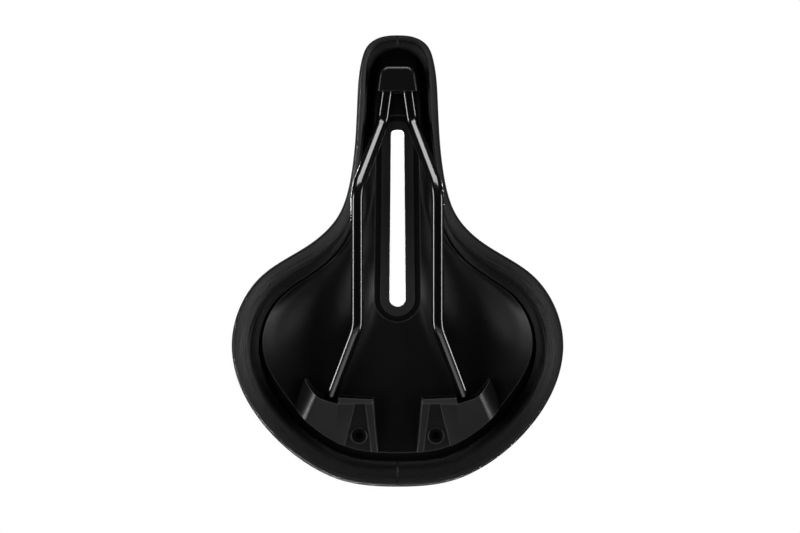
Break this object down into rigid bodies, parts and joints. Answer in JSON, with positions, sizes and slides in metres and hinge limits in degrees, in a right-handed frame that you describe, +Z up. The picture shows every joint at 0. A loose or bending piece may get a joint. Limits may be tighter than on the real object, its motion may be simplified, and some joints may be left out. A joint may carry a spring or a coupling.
{
  "type": "bicycle saddle",
  "caption": "Wide padded bicycle saddle with a relief slot, on a moulded shell with a one-piece wire rail, a nose cap, rear sockets and threaded inserts.",
  "frame": {"origin": "midway between the two rails, 3 mm behind the middle of the straight stretch that the seatpost clamps, at the height of the rails' centre lines", "axes": "+X to the nose, +Y to the rider's left, +Z up through the seat"},
  "size_m": [0.2562, 0.1874, 0.0667],
  "materials": {
    "shell_plastic": "satin moulded nylon, fine spark texture",
    "rail_steel": "gloss black coat on steel wire",
    "cap_plastic": "smooth satin-gloss moulding",
    "liner_plastic": "satin",
    "insert_steel": "blackened steel",
    "foam": "open-cell polyurethane foam with a closed skin",
    "cover_top": "matt grained synthetic leather",
    "cover_side": "satin fine-grained synthetic leather"
  },
  "bodies": {
    "root": {"base_shell": "shell_plastic", "rail": "rail_steel", "nose_rail_cap": "cap_plastic", "channel_liner": "liner_plastic", "accessory_inserts": "insert_steel", "foam_pad": "foam", "cover_top_panel": "cover_top", "cover_side_panel_left": "cover_side", "cover_side_panel_right": "cover_side"}
  },
  "joints": []
}
